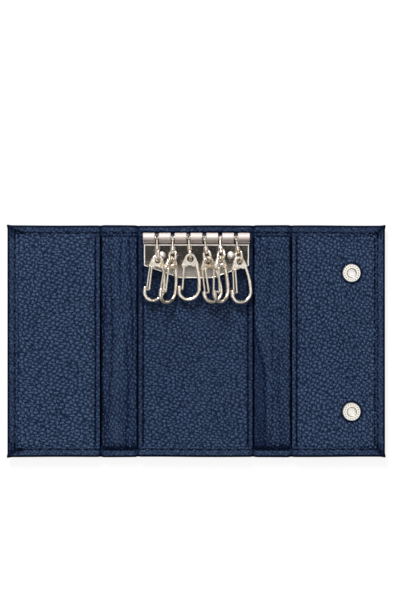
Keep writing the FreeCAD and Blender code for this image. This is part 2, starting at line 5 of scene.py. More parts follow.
import bpy
import numpy as np
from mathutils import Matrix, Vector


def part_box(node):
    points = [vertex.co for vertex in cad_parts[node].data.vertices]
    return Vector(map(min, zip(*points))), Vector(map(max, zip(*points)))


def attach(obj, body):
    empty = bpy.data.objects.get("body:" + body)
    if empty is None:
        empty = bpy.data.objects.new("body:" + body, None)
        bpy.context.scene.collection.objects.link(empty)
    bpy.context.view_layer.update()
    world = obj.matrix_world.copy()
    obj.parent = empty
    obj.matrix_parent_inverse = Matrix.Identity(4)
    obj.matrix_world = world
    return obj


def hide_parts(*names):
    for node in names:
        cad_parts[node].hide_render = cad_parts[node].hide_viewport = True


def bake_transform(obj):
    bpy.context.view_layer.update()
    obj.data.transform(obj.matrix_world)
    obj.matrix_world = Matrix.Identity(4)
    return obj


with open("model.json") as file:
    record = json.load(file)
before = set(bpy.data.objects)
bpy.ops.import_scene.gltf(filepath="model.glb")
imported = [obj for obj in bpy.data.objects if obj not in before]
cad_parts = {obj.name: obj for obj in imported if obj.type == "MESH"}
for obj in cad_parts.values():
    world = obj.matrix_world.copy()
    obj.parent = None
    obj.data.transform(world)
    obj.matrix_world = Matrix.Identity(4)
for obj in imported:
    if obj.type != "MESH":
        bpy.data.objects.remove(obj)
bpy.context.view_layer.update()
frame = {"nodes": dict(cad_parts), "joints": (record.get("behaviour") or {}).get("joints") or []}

# Stiffener boards: grey pressed-fibre board, cut square and glued between the cover and the three
# stiff panels. Nothing but their cut edges could show, deep in the folds.
millimetre = 0.001


class Value:
    """One socket of a finish: Python arithmetic on it adds Math nodes to that finish."""

    def __init__(self, finish, socket):
        self.finish = finish
        self.socket = socket

    def reckon(self, operation, first, second):
        return self.finish.value("ShaderNodeMath", {"operation": operation}, {0: first, 1: second})

    def __add__(self, other):
        return self.reckon("ADD", self, other)

    def __radd__(self, other):
        return self.reckon("ADD", other, self)

    def __sub__(self, other):
        return self.reckon("SUBTRACT", self, other)

    def __rsub__(self, other):
        return self.reckon("SUBTRACT", other, self)

    def __mul__(self, other):
        return self.reckon("MULTIPLY", self, other)

    def __rmul__(self, other):
        return self.reckon("MULTIPLY", other, self)


class Finish:
    """A node tree of a material or of the world, put together one node at a time."""

    def __init__(self, owner):
        self.owner = owner
        owner.use_nodes = True
        self.tree = owner.node_tree
        self.tree.nodes.clear()

    def node(self, kind, settings, inputs):
        """Adds a node: its settings come first, then the value or the link of each of its sockets."""
        node = self.tree.nodes.new(kind)
        for name, setting in settings.items():
            setattr(node, name, setting)
        for key, given in inputs.items():
            if isinstance(given, Value):
                self.tree.links.new(given.socket, node.inputs[key])
            else:
                node.inputs[key].default_value = given
        return node

    def value(self, kind, settings, inputs, output=0):
        return Value(self, self.node(kind, settings, inputs).outputs[output])

    def noise(self, size, detail, stretch=(1, 1, 1)):
        """Cloudy noise from 0 to 1 with patches about size millimetres across, longer where stretch is under 1."""
        place = self.value("ShaderNodeTexCoord", {}, {}, "Object")
        squeezed = self.value("ShaderNodeVectorMath", {"operation": "MULTIPLY"}, {0: place, 1: stretch})
        scale = 1 / (size * millimetre)
        return self.value("ShaderNodeTexNoise", {}, {"Vector": squeezed, "Scale": scale, "Detail": detail})

    def step(self, amount, low, high):
        """Smooth step of an amount: 0 below low and 1 above high."""
        inputs = {"Value": amount, "From Min": low, "From Max": high}
        return self.value("ShaderNodeMapRange", {"interpolation_type": "SMOOTHSTEP"}, inputs)

    def mix(self, share, first, second):
        return self.value("ShaderNodeMix", {"data_type": "RGBA"}, {0: share, 6: first, 7: second}, 2)

    def bump(self, height, depth):
        return self.value("ShaderNodeBump", {}, {"Distance": depth * millimetre, "Height": height})

    def surface(self, inputs):
        shader = self.value("ShaderNodeBsdfPrincipled", {}, inputs)
        self.node("ShaderNodeOutputMaterial", {}, {"Surface": shader})
        return self.owner


def dress(material, nodes):
    """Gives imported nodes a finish, through their objects' own material slots."""
    for name in nodes:
        for place in frame["nodes"][name].material_slots:
            place.material = material


fibre_light = (0.30, 0.27, 0.23, 1)
fibre_dark = (0.16, 0.14, 0.12, 1)
board = Finish(bpy.data.materials.new("fibre_board"))
fibres = board.noise(0.5, 6.0, (1, 0.3, 1))
board_finish = board.surface({
    "Base Color": board.mix(fibres, fibre_dark, fibre_light),
    "Roughness": 0.75 + 0.2 * fibres,
    "Normal": board.bump(fibres, 0.05),
})
dress(board_finish, ["left_flap_board", "centre_board", "right_flap_board"])

# Outer cover: one skin of navy pebbled cowhide, thinned at its border, turned over the edges all round and
# sewn down as a hem. It bends at four folds, so it is made in four pieces that meet where it stays flat.
fold_x = {joint["name"]: joint["pos_m"][0] / millimetre for joint in frame["joints"][:4]}
left_outer, left_inner = fold_x["left_flap_fold"], fold_x["left_spine_fold"]
right_inner, right_outer = fold_x["right_spine_fold"], fold_x["right_flap_fold"]
folds = np.array([left_outer, left_inner, right_inner, right_outer])
fold_z = frame["joints"][0]["pos_m"][2] / millimetre
left_middle = (left_outer + left_inner) / 2
right_middle = (right_inner + right_outer) / 2
centre_x = (left_inner + right_inner) / 2


def corners(node):
    """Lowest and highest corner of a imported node, in millimetres."""
    low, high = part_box(node)
    return np.array(low) / millimetre, np.array(high) / millimetre


cover_low, cover_high = corners("left_flap_cover")
left_edge, half_height, skin_bottom = cover_low[0], cover_high[1], cover_low[2]
right_edge = corners("right_flap_cover")[1][0]
stiff_hem_top = cover_high[2]
spine_hem_top = corners("left_spine_cover")[1][2]
stiff_thickness = stiff_hem_top - skin_bottom
hem_width = 5.1
hem_end = 0.35
rounding_points = 6
edge_radius = 1.05
corner_radius = 0.35
corner_flare = 0.3
# Painted shade: how dark the upper rounding of the turned edge is painted.
painted_edge_shade = 0.7
crease_depth = 1.1
crease_width = 0.85
fold_reach = 1.7
stitch_inset = 3.4
stitch_groove = 0.2
groove_width = 0.45
hide = 0.45
cover_step = 0.45
hem_points = 15
lower_end = -0.99
grain_relief = 0.12
hem_grain_size, face_grain_size, streak_size = 1.4, 1.6, 1.7
hem_salt, face_salt, fray_salt, mitre_salt = 3.0, 11.0, 23.0, 31.0
end_thinning, right_end_gain = 0.17, 0.06
face_crease, face_groove = 0.05, 0.1


def smooth(low, high, amount):
    """Smooth step: 0 below low, 1 above high, and an S-curve between the two."""
    part = np.clip((amount - low) / (high - low), 0, 1)
    return part * part * (3 - 2 * part)


def bells(x, places, width):
    """Sum of bell curves, one at each place."""
    return np.exp(-((x[..., None] - places) / width) ** 2).sum(-1)


def in_spine(x):
    """1 over the two spines, 0 over the stiff panels, with a short slope at each fold."""
    slope = 0.6
    risen = [smooth(fold - slope, fold + slope, x) for fold in folds]
    return (risen[0] - risen[1]) + (risen[2] - risen[3])


def edge_thickness(x):
    """Thickness of the turned edge along the case: full on the stiff panels, less on the spines, and pinched at
    the folds."""
    level = stiff_thickness + (spine_hem_top - stiff_hem_top) * in_spine(x)
    return level - crease_depth * bells(x, folds, crease_width)


def edge_rise(x):
    """How far the top and bottom edges stand out: slow hand-cut waves, and a small bulge at each spine."""
    waves = 0.06 * np.sin(x / 7.3 + 0.8) + 0.05 * np.sin(x / 17.1)
    return waves + 0.16 * in_spine(x) - 0.12 * bells(x, folds, crease_width)


def cell_number(column, row, salt):
    """A number from 0 to 1 for each cell of a square pattern, fixed by its salt: the fraction of a large sine."""
    wave = np.sin(column * 127.1 + row * 311.7 + salt * 74.7) * 43758.5453
    return wave - np.floor(wave)


def pebbles(x, y, size, salt):
    """Pebble grain, 0 in the valleys and 1 on the tops, from places in millimetres.

    Every square cell of a turned and bent pattern holds one point, moved about in its cell. A pebble is a bell
    round its point, cut down to the line where the next point is as near, and some pebbles are lower.
    """
    turn, scatter, pillow, spread = 0.55, 0.66, 0.62, 0.5
    u = (x * math.cos(turn) - y * math.sin(turn)) / size + 0.35 * np.sin(y / (2.7 * size) + salt)
    v = (x * math.sin(turn) + y * math.cos(turn)) / size + 0.35 * np.sin(x / (3.1 * size) - salt)
    u, v = u + 0.1 * np.sin(6.1 * v + 2.3 * u), v + 0.1 * np.sin(5.3 * u - 1.9 * v)
    column, row = np.floor(u), np.floor(v)
    nearest = np.full(u.shape, 9.0)
    second = np.full(u.shape, 9.0)
    own = np.zeros(u.shape)
    for across in (-1, 0, 1):
        for along in (-1, 0, 1):
            cell_u, cell_v = column + across, row + along
            point_u = cell_u + 0.5 + scatter * (cell_number(cell_u, cell_v, salt) - 0.5)
            point_v = cell_v + 0.5 + scatter * (cell_number(cell_u, cell_v, salt + 5) - 0.5)
            away = np.hypot(u - point_u, v - point_v)
            own = np.where(away < nearest, cell_number(cell_u, cell_v, salt + 9), own)
            second = np.minimum(second, np.maximum(nearest, away))
            nearest = np.minimum(nearest, away)
    return smooth(0, pillow, second - nearest) * np.exp(-(nearest / spread) ** 2) * (0.82 + 0.18 * own)


def hide_grain(x, y, size, salt):
    """Grain of the hide: pebbles, roughened by others about half their size, which also fill parts of
    the valleys."""
    coarse, fine = pebbles(x, y, size, salt), pebbles(x, y, 0.5 * size, salt + 13)
    return coarse * (0.62 + 0.9 * fine) + 0.34 * fine * (1 - coarse)


def turned_section():
    """Half section of the turned edge, from the outer face round to the hem's cut end.

    Gives the distances in from the outline, the heights as shares of the edge's thickness, and how far across
    the hem each place is: two quarter circles with a straight wall between them, then the hem and its rounded
    cut end.
    """
    quarter = np.linspace(0, math.pi / 2, rounding_points)
    share = edge_radius / stiff_thickness
    under = edge_radius * (1 - np.sin(quarter)), share * (1 - np.cos(quarter)), 0 * quarter
    over = edge_radius * (1 - np.cos(quarter)), 1 - share * (1 - np.sin(quarter)), 0 * quarter
    across = np.linspace(0, 1, hem_points)[1:]
    hem = edge_radius + across * (hem_width - hem_end - edge_radius), 1 + 0 * across, across
    end = hem_width - hem_end * np.array([0.5, 0.15, 0]), np.array([0.99, 0.95, 0.82]), np.ones(3)
    return tuple(np.concatenate(pieces) for pieces in zip(under, over, hem, end))


section_inset, section_share, section_across = turned_section()
section_top = smooth(edge_radius * 0.4, edge_radius * 1.2, section_inset) * (section_share > 0.6)


def hem_narrowing(x, lower):
    """How much narrower the hem is: it wavers a little, and over a spine's lower end it is short and jagged."""
    jagged = 1.8 + 0.2 * np.sin(x * 2.6) + 0.15 * np.sin(x * 4.3 + 1)
    return 0.08 * np.sin(x * 1.9) + lower * in_spine(x) * jagged


# Painted shade: a dark line on the hem just above the plate's top edge.
plate_shade_line = corners("hook_plate")[1][1] + 0.4
plate_shade_half = 24.6
plate_shade_width = 0.4


def hem_surface(x, y, inset, share, across, top):
    """Height and tone of the turned edge: its share of the thickness, less towards the hem's cut end, with the
    hide's grain and the sewn groove on the hem. The upper rounding, the cut end, the sewn groove, the creases at
    the folds and a line along the plate are darkened with painted shade, and the right flap's cut end is frayed."""
    thinning = end_thinning - right_end_gain * smooth(right_outer, right_edge - 2 * hem_width, x)
    streaks = pebbles(0.4 * (x + y), 1.2 * inset, streak_size, hem_salt)
    grain = 0.85 * hide_grain(x, y, hem_grain_size, hem_salt) + 0.2 * streaks
    groove = np.exp(-((inset - stitch_inset) / groove_width) ** 2)
    height = skin_bottom + (share - thinning * across) * edge_thickness(x)
    height = height + top * (grain_relief * grain - stitch_groove * groove)
    # Painted shade: the tone falls to black at the hem's cut end and is darker along the sewn groove and at the
    # folds.
    painted_end_shade_factor = 1 - smooth(0.9, 1, across)
    stubs = in_spine(x) * smooth(0.2, 1, across) * smooth(0, 0.9, np.sin(3.9 * x + 1.2 * np.sin(1.3 * x)))
    tone = painted_end_shade_factor * (0.06 + 0.72 * grain - 0.2 * groove - 0.2 * stubs) * (1 - 0.9 * bells(x, folds, 0.7))
    # Painted shade along the plate's top edge.
    along_plate = smooth(plate_shade_half, plate_shade_half - 1, np.abs(x))
    painted_contact_shade = np.exp(-((y - plate_shade_line) / plate_shade_width) ** 2) * along_plate
    tone = tone - 0.6 * painted_contact_shade
    frayed = smooth(right_edge - 2 * hem_width, right_edge - 1.2 * hem_width, x) * smooth(0.84, 0.96, across)
    tone = tone + frayed * (1.5 * pebbles(0.6 * x, y, 1.2, fray_salt) - 0.7)
    # Painted shade: the upper rounding of the turned edge goes black.
    wall = smooth(0.97, 0.8, share)
    return height, top * tone + (1 - top) * (wall * (0.14 + 0.3 * grain) - painted_edge_shade * (1 - wall))


def outer_face(x, y):
    """Height and tone of the cover's outer face: flat, with pebble grain, slight creases along the folds and the
    sewn groove all round, which is darkened with painted shade."""
    grain = hide_grain(x, y, face_grain_size, face_salt)
    creases = bells(x, folds, 1.0) * np.sin(x * 3.1 + np.sin(y / 6.0))
    from_edge = np.minimum(half_height - np.abs(y), np.minimum(x - left_edge, right_edge - x))
    groove = np.exp(-((from_edge - stitch_inset) / groove_width) ** 2)
    height = skin_bottom - grain_relief * grain + face_crease * creases + face_groove * groove
    # Painted shade along the sewn groove.
    return height, 0.9 * grain - 0.2 * groove


def grid_quads(numbers):
    """Quads that join the neighbours of a grid of vertex numbers."""
    return np.stack([numbers[:-1, :-1], numbers[:-1, 1:], numbers[1:, 1:], numbers[1:, :-1]], -1).reshape(-1, 4)


def new_piece(name, points, faces):
    """A smooth mesh object at the origin, from points in millimetres and the vertex numbers of its faces."""
    mesh = bpy.data.meshes.new(name)
    mesh.from_pydata((points * millimetre).tolist(), [], faces)
    mesh.shade_smooth()
    piece = bpy.data.objects.new(name, mesh)
    bpy.context.scene.collection.objects.link(piece)
    return piece


def leather_piece(name, points, quads, tone, thickness):
    """A leather piece, its tone kept as an attribute, its thickness put on inwards."""
    piece = new_piece(name, points, quads.tolist())
    kept = piece.data.attributes.new("tone", "FLOAT", "POINT")
    kept.data.foreach_set("value", tone.astype(np.float32))
    wall = piece.modifiers.new("hide", "SOLIDIFY")
    wall.thickness = thickness * millimetre
    wall.offset = -1
    return piece


def flap_outline(along, up, inset, side, seam, edge):
    """Places on a flap's outline moved in by an inset on three sides.

    along runs 0 to 1 from the seam to the outer edge and up runs -1 to 1. Places beyond a corner's centre are
    drawn onto circles about it, so that squares become quarter discs, and the corners stand out as points.
    """
    reach = abs(edge - seam) - inset
    out = along * reach
    tall = half_height + edge_rise(seam + side * out) - inset
    rise = np.abs(up) * tall
    radius = np.maximum(corner_radius - inset, 0.25)
    past_side, past_end = out - reach + radius, rise - tall + radius
    cornered = (past_side > 0) & (past_end > 0)
    length = np.where(cornered, np.hypot(past_side, past_end), 1)
    draw = np.where(cornered, np.maximum(past_side, past_end) / length, 1)
    out = np.where(cornered, reach - radius + past_side * draw, out)
    rise = np.where(cornered, tall - radius + past_end * draw, rise)
    from_side, from_end = abs(edge - seam) - out, tall + inset - rise
    flare = corner_flare * smooth(1.9, 0.3, np.hypot(from_side, from_end))
    return seam + side * (out + flare), np.sign(up) * (rise + flare), from_side, from_end


mitre_slope = {-1: 0.45, 1: 0.95}


def corner_pleats(from_side, from_end, slope):
    """Gathered leather at a flap's corner: its height over the hem and its painted shade.

    The two hems meet in a ragged, frayed mitre from the corner to the hem's inner edge, and small pleats run along
    that edge. The mitre's dip and the pleats are darkened with painted shade, broken by lighter frayed specks.
    """
    ragged = 0.35 * np.sin(2.9 * from_side + 1.3 * np.sin(2.1 * from_side)) + 0.2 * np.sin(6.7 * from_side)
    mitre = from_end - slope * from_side - 1.8 * (1 - slope) + ragged
    dip = np.exp(-(mitre / 0.9) ** 2) * smooth(0.6, 1.6, from_side) * smooth(9.5, 6.5, from_side)
    specks = pebbles(from_side, from_end, 1.0, mitre_salt)
    pleats = smooth(3.2, 4.4, from_end) * smooth(6.5, 5.2, from_end) * smooth(16, 5, from_side)
    pleats = pleats * smooth(-0.3, 0.7, np.sin(4.3 * from_side + ragged))
    # Painted shade: the mitre's dip and the pleats are darkened, broken by lighter frayed specks.
    return 0.1 * smooth(7, 3, from_side) - 0.3 * dip - 0.12 * pleats, dip * (1.1 - 1.3 * specks) + 0.5 * pleats


def flap_cover(name, side, seam, edge):
    """A flap's cover with half a spine: a grid for the outer face, and the turned section carried round its
    outline."""
    columns = int(abs(edge - seam) / cover_step)
    rows = int(2 * half_height / cover_step)
    along, up = np.meshgrid(np.linspace(0, 1, columns), np.linspace(-1, 1, rows))
    x, y, _, _ = flap_outline(along, up, np.full(along.shape, edge_radius), side, seam, edge)
    z, face_tone = outer_face(x, y)
    face = np.stack([x, y, z], -1).reshape(-1, 3)
    numbers = np.arange(rows * columns).reshape(rows, columns)
    ring = np.concatenate([numbers[-1], numbers[-2::-1, -1], numbers[0, -2::-1]])
    ring_along, ring_up = along.reshape(-1)[ring], up.reshape(-1)[ring]
    rough_x = seam + side * ring_along * abs(edge - seam)
    narrowing = hem_narrowing(rough_x, ring_up < lower_end)
    share, across, top = (part[1:, None] + 0 * narrowing for part in (section_share, section_across, section_top))
    inset = section_inset[1:, None] - across * narrowing
    x, y, from_side, from_end = flap_outline(ring_along + 0 * inset, ring_up + 0 * inset, inset, side, seam, edge)
    z, hem_tone = hem_surface(x, y, inset, share, across, top)
    pleats, shade = corner_pleats(from_side, from_end, mitre_slope[side])
    z = z + top * pleats
    hem_tone = hem_tone - top * shade
    strip = np.stack([x, y, z], -1).reshape(-1, 3)
    more = np.arange(strip.shape[0]).reshape(inset.shape) + rows * columns
    carried = np.concatenate([ring[None], more])
    quads = np.concatenate([grid_quads(numbers)[:, ::-1], grid_quads(carried)[:, ::-1]])
    if side < 0:
        quads = quads[:, ::-1]
    points = np.concatenate([face, strip])
    tone = np.concatenate([face_tone.reshape(-1), hem_tone.reshape(-1)])
    return leather_piece(name, points, quads, tone, hide)


def middle_cover(name, low, high):
    """Half the centre's cover with half a spine: one section, hem, outer face and hem, carried along x."""
    columns = int((high - low) / cover_step)
    rows = int(2 * half_height / cover_step)
    flat = np.linspace(-1, 1, rows)[1:-1]
    inset = np.concatenate([section_inset[::-1], np.full(flat.shape, edge_radius), section_inset])
    share, across, top = (
        np.concatenate([part[::-1], 0 * flat, part]) for part in (section_share, section_across, section_top)
    )
    outer = np.concatenate([0 * section_inset, 1 + 0 * flat, 0 * section_inset])
    up = np.concatenate([-1 + 0 * section_inset, flat, 1 + 0 * section_inset])
    x, inset = np.meshgrid(np.linspace(low, high, columns), inset)
    share, across, top, outer, up = (part[:, None] + 0 * x for part in (share, across, top, outer, up))
    inset = inset - across * hem_narrowing(x, up < lower_end)
    y = up * (half_height + edge_rise(x) - inset)
    hem_z, hem_tone = hem_surface(x, y, inset, share, across, top)
    face_z, face_tone = outer_face(x, y)
    z = hem_z + outer * (face_z - hem_z)
    tone = hem_tone + outer * (face_tone - hem_tone)
    numbers = np.arange(x.size).reshape(x.shape)
    points = np.stack([x, y, z], -1).reshape(-1, 3)
    return leather_piece(name, points, grid_quads(numbers)[:, ::-1], tone.reshape(-1), hide)


# The first colour is painted black shade for folds, gaps and edges; the other two span the grain's tone, with
# painted shade in the valleys and a painted sheen on the tops.
painted_shade_black = (0.0004, 0.0006, 0.002, 1)
leather_deep = (0.0006, 0.0048, 0.023, 1)
leather_light = (0.061, 0.100, 0.184, 1)


def navy_leather(name, shine):
    """Pebbled leather: near-black navy in the valleys, partly painted shade, and lighter and smoother on the tops,
    partly a painted sheen, with slow patches and pores. Where the tone runs below zero it turns to painted black
    shade."""
    leather = Finish(bpy.data.materials.new(name))
    tone = leather.value("ShaderNodeAttribute", {"attribute_name": "tone"}, {}, "Fac")
    patches = leather.noise(9, 3)
    pores = leather.noise(0.22, 4)
    flecks = leather.noise(0.85, 2)
    mottled = 0.1 * (patches - 0.5) + 0.3 * (pores - 0.5) + 0.75 * (flecks - 0.5)
    light = leather.step(tone + mottled, -0.15, 1.0)
    # Painted black shade where the tone runs below zero; the grain's tone carries painted shade and a painted
    # sheen.
    unshaded_share = leather.step(tone, -0.8, -0.05)
    grain_tone_and_painted_sheen = leather.mix(light, leather_deep, leather_light)
    return leather.surface({
        "Base Color": leather.mix(unshaded_share, painted_shade_black, grain_tone_and_painted_sheen),
        "Roughness": shine + 0.16 * (1 - tone) + 0.12 * (pores - 0.5),
        "Normal": leather.bump(pores, 0.035),
        "Specular IOR Level": 0.06,
    })


cover_leather = navy_leather("cover_leather", 0.46)


def bend(piece, fold, reach):
    """Bakes a piece's placement into its mesh. The ends of a short stretch on both sides of the fold are worked
    out but not used, so the piece does not bend.
    """
    start = ((fold - reach) * millimetre, 0, fold_z * millimetre)
    end = ((fold + reach) * millimetre, 0, fold_z * millimetre)
    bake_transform(piece)


cover_pieces = [
    (flap_cover("cover_left_flap", -1, left_middle, left_edge), "left_flap", "left_spine", left_outer),
    (middle_cover("cover_left_spine", left_middle, centre_x), "left_spine", "centre", left_inner),
    (middle_cover("cover_right_spine", centre_x, right_middle), "centre", "right_spine", right_inner),
    (flap_cover("cover_right_flap", 1, right_middle, right_edge), "right_spine", "right_flap", right_outer),
]
for piece, first, second, fold in cover_pieces:
    piece.data.materials.append(cover_leather)
    bend(piece, fold, fold_reach)
    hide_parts(first + "_cover", second + "_cover")

# Inner panels: three pieces of the same pebbled hide, laid over the boards. Their outer edges lie under the
# hems, and at the folds they are turned down over the boards' edges.
panel_top = corners("left_flap_panel")[1][2]
panel_triangles = 185000
flap_setback, middle_setback = 0.28, 0.22
panel_foot = 2.75
panel_under_hem = 1.2
hem_line = hem_width - panel_under_hem
seam_in = 2.5
roll_radius = 0.42
panel_hide = 0.35
panel_salt = 7.0
socket_low, socket_high = corners("snap_sockets")
socket_radius = (socket_high[0] - socket_low[0]) / 2
socket_x = (socket_low[0] + socket_high[0]) / 2
socket_ys = [socket_low[1] + socket_radius, socket_high[1] - socket_radius]
# Painted shadow of the hooks on the centre panel: it starts 3 mm below the lowest hook.
hook_shadow_low = corners("hook_5")[0][1] - 3
hole_depth = 1.0
hole_top, hole_bottom = 3.3, 2.75


def panel_profile(low, high, low_rolled, high_rolled, step):
    """Section of a panel along x: a flat top, and at a rolled end a quarter circle and a short wall down to
    the cover."""
    quarter = np.linspace(0, math.pi / 2, 5)
    x = np.linspace(low + roll_radius * low_rolled, high - roll_radius * high_rolled, int((high - low) / step))
    z = np.full(x.shape, panel_top)
    drop = panel_top - roll_radius + roll_radius * np.cos(quarter[1:])
    if low_rolled:
        x = np.concatenate([[low, low], (low + roll_radius - roll_radius * np.sin(quarter[1:]))[::-1], x])
        z = np.concatenate([[panel_foot, (panel_foot + drop[-1]) / 2], drop[::-1], z])
    if high_rolled:
        x = np.concatenate([x, high - roll_radius + roll_radius * np.sin(quarter[1:]), [high, high]])
        z = np.concatenate([z, drop, [(panel_foot + drop[-1]) / 2, panel_foot]])
    return x, z


def panel(name, low, high, low_rolled, high_rolled, size, stretch, relief, strength, seams, holes, hook_shadow):
    """A panel: its section carried along y, raised by the grain and by slow waves, drawn in along its seams, and
    sunk out of sight in its holes. It is smoother between a seam and the fold. Painted shade darkens its seam
    grooves, the rolled ends where it turns down and a ring round each hole, and the given share of painted shadow
    of the hooks darkens it from just below them upwards."""
    rolled_ends = np.array([low - hem_width * (not low_rolled), high + hem_width * (not high_rolled)])
    end = half_height - hem_width + panel_under_hem
    step = math.sqrt(4 * (high - low) * 2 * end / panel_triangles)
    section_x, section_z = panel_profile(low, high, low_rolled, high_rolled, step)
    y, x = np.meshgrid(np.linspace(-end, end, int(2 * end / step)), section_x)
    z = section_z[:, None] + 0 * y
    level = smooth(panel_top - 0.1, panel_top, z)
    lower = smooth(10, -45, y)
    border = smooth(seam_in, seam_in - 1.1, np.abs(x[..., None] - rolled_ends).min(-1))
    groove = bells(x, np.array(seams), groove_width)
    grain = hide_grain(x / stretch, y, size, panel_salt) * (1 - 0.45 * border) * (1 - 0.8 * groove) + 0.12 * border
    waves = 0.05 * np.sin(x / 6.1 + y / 14.0) + 0.05 * np.sin(y / 8.3 - x / 19.0)
    z = z + level * ((relief + 0.05 * lower) * grain + waves - stitch_groove * groove)
    # Painted shade in the seam grooves and, nearly black, down the rolled ends.
    tone = level * (grain * (strength + 0.15 * lower) - 0.03 - 0.2 * groove) - 0.9 * (1 - level)
    # Painted shadow of the hooks, from just below them upwards.
    tone = tone * (1 - hook_shadow * smooth(hook_shadow_low, hook_shadow_low + 5, y))
    for hole_x, hole_y in holes:
        away = np.hypot(x - hole_x, y - hole_y)
        z = z - hole_depth * smooth(hole_top, hole_bottom, away)
        # Painted shade: a dark ring round each hole.
        painted_contact_shade = smooth(socket_radius + 0.7, socket_radius, away)
        tone = tone * smooth(socket_radius, socket_radius + 1.4, away) - painted_contact_shade
    quads = grid_quads(np.arange(x.size).reshape(x.shape))[:, ::-1]
    points = np.stack([x, y, z], -1).reshape(-1, 3)
    return leather_piece(name, points, quads, tone.reshape(-1), panel_hide)


panel_leather = navy_leather("panel_leather", 0.44)
left_panel = panel(
    "left_panel", left_edge + hem_line, left_outer - flap_setback, False, True, size=1.55, stretch=1.4,
    relief=0.42, strength=1.1, seams=[left_outer - seam_in], holes=[], hook_shadow=0)
centre_panel = panel(
    "middle_panel", left_inner + middle_setback, right_inner - middle_setback, True, True, size=1.45, stretch=1.4,
    relief=0.34, strength=0.88, seams=[left_inner + seam_in, right_inner - seam_in], holes=[], hook_shadow=0.55)
right_panel = panel(
    "right_panel", right_outer + flap_setback, right_edge - hem_line, True, False, size=1.75, stretch=1.0,
    relief=0.42, strength=1.1, seams=[right_outer + seam_in], holes=[(socket_x, y) for y in socket_ys], hook_shadow=0)
for piece, body in ((left_panel, "left_flap"), (centre_panel, "centre"), (right_panel, "right_flap")):
    piece.data.materials.append(panel_leather)
    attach(piece, body)
    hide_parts(body + "_panel")

# Gussets: thin soft strips of the same hide along the two spines, tucked into the folds on both sides and
# under the hems at both ends. They puff up a little between the folds and carry long creases.
gusset_top = corners("left_gusset")[1][2]
gusset_step = 0.27
gusset_reach = 0.5
gusset_hide = 0.3
gusset_puff = 0.45
gusset_under_hem = 1.6
gusset_grain_size, gusset_salt = 1.35, 17.0
gusset_relief, crease_relief, gather_relief = 0.13, 0.22, 0.2
groove_floor = 2.75
crease_count = 5


def gusset(name, low, high, fold_low, fold_high, creased, slack):
    """Half a gusset: an arch between its two folds, with long narrow creases along y and grain drawn out along
    them.

    A crease is a valley along a slowly bending line, and it comes and goes along y. One slack crease leaves the
    first fold and slants away from it down the strip, with smoother leather behind it. Short gathers stand along
    the lower end. Creases and gathers are darkened with painted shade, a painted highlight lightens a band along
    the middle of the arch, and painted shade turns it black where it goes down into the folds.
    """
    end = half_height - hem_width + gusset_under_hem
    columns, rows = int((high - low) / gusset_step), int(2 * end / gusset_step)
    y, x = np.meshgrid(np.linspace(-end, end, rows), np.linspace(low, high, columns))
    from_fold = np.minimum(x - fold_low, fold_high - x) + gusset_reach
    arch = smooth(0.4, 1.4, from_fold) * (0.6 + 0.4 * smooth(1.2, 6.5, from_fold))
    tucked = smooth(half_height - hem_width + 0.6, half_height - hem_width - 2.2, np.abs(y))
    grain = hide_grain(x, y * (0.8 - 0.15 * creased), gusset_grain_size, gusset_salt)
    creases = np.zeros(x.shape)
    for number in range(crease_count):
        bend_x, bend_y, part_x, part_y = (cell_number(number, turn, fold_low) for turn in range(4))
        middle = fold_low + (fold_high - fold_low) * (number + bend_x) / crease_count
        middle = middle + 0.9 * np.sin(y / (11 + 6 * bend_y) + 6.3 * part_x) + 0.15 * np.sin(y / 2.3 + number)
        there = smooth(-0.6, 0.5, np.sin(y / (16 + 9 * part_y) + 6.3 * bend_x))
        width = 0.35 + 0.5 * part_x
        creases = np.maximum(creases, there * np.exp(-((x - middle) / width) ** 2))
    creases = creases * (0.35 + 0.65 * creased)
    past_slack = x - fold_low - slack * smooth(12, -18, y)
    creases = np.maximum(creases, smooth(14, 4, y) * np.exp(-(past_slack / 0.7) ** 2))
    grain = grain * (1 - 0.5 * smooth(0.9, -0.9, past_slack))
    ragged = 0.35 * np.sin(2.3 * x) + 0.25 * np.sin(4.1 * x + 1) + 0.2 * np.sin(7.3 * x)
    from_hem = y + half_height - hem_width + 0.35
    ruffle = smooth(3.5, 0, from_hem) * smooth(0.2, 1, np.sin(3.1 * x + 1.4 * np.sin(1.7 * x)))
    gathers = np.maximum(smooth(0.45, -0.35, from_hem + ragged), 0.4 * ruffle)
    from_fold = from_fold + 0.12 * np.sin(y / 3.7) + 0.1 * np.sin(y / 1.1 + x)
    z = groove_floor + arch * (gusset_top - groove_floor + gusset_puff * tucked)
    sunk = tucked * (crease_relief * creases + gather_relief * gathers)
    z = z + smooth(0.8, 2.4, from_fold) * (gusset_relief * grain - sunk)
    quads = grid_quads(np.arange(x.size).reshape(x.shape))[:, ::-1]
    points = np.stack([x, y, z], -1).reshape(-1, 3)
    # Painted shade: black down into the folds and darker in the creases and gathers; a painted highlight lightens
    # the middle of the arch.
    near_fold = smooth(0.3, 1.2, from_fold)
    painted_light_band = np.exp(-((x - (fold_low + fold_high) / 2 - 0.8 * np.sin(y / 17)) / 2.6) ** 2)
    tone = near_fold * (0.07 * creased * painted_light_band + (0.85 - 0.15 * creased) * grain) - 0.22 * creases
    tone = tone - 0.9 * (1 - near_fold) - 0.6 * gathers
    return leather_piece(name, points, quads, tone.reshape(-1), gusset_hide)


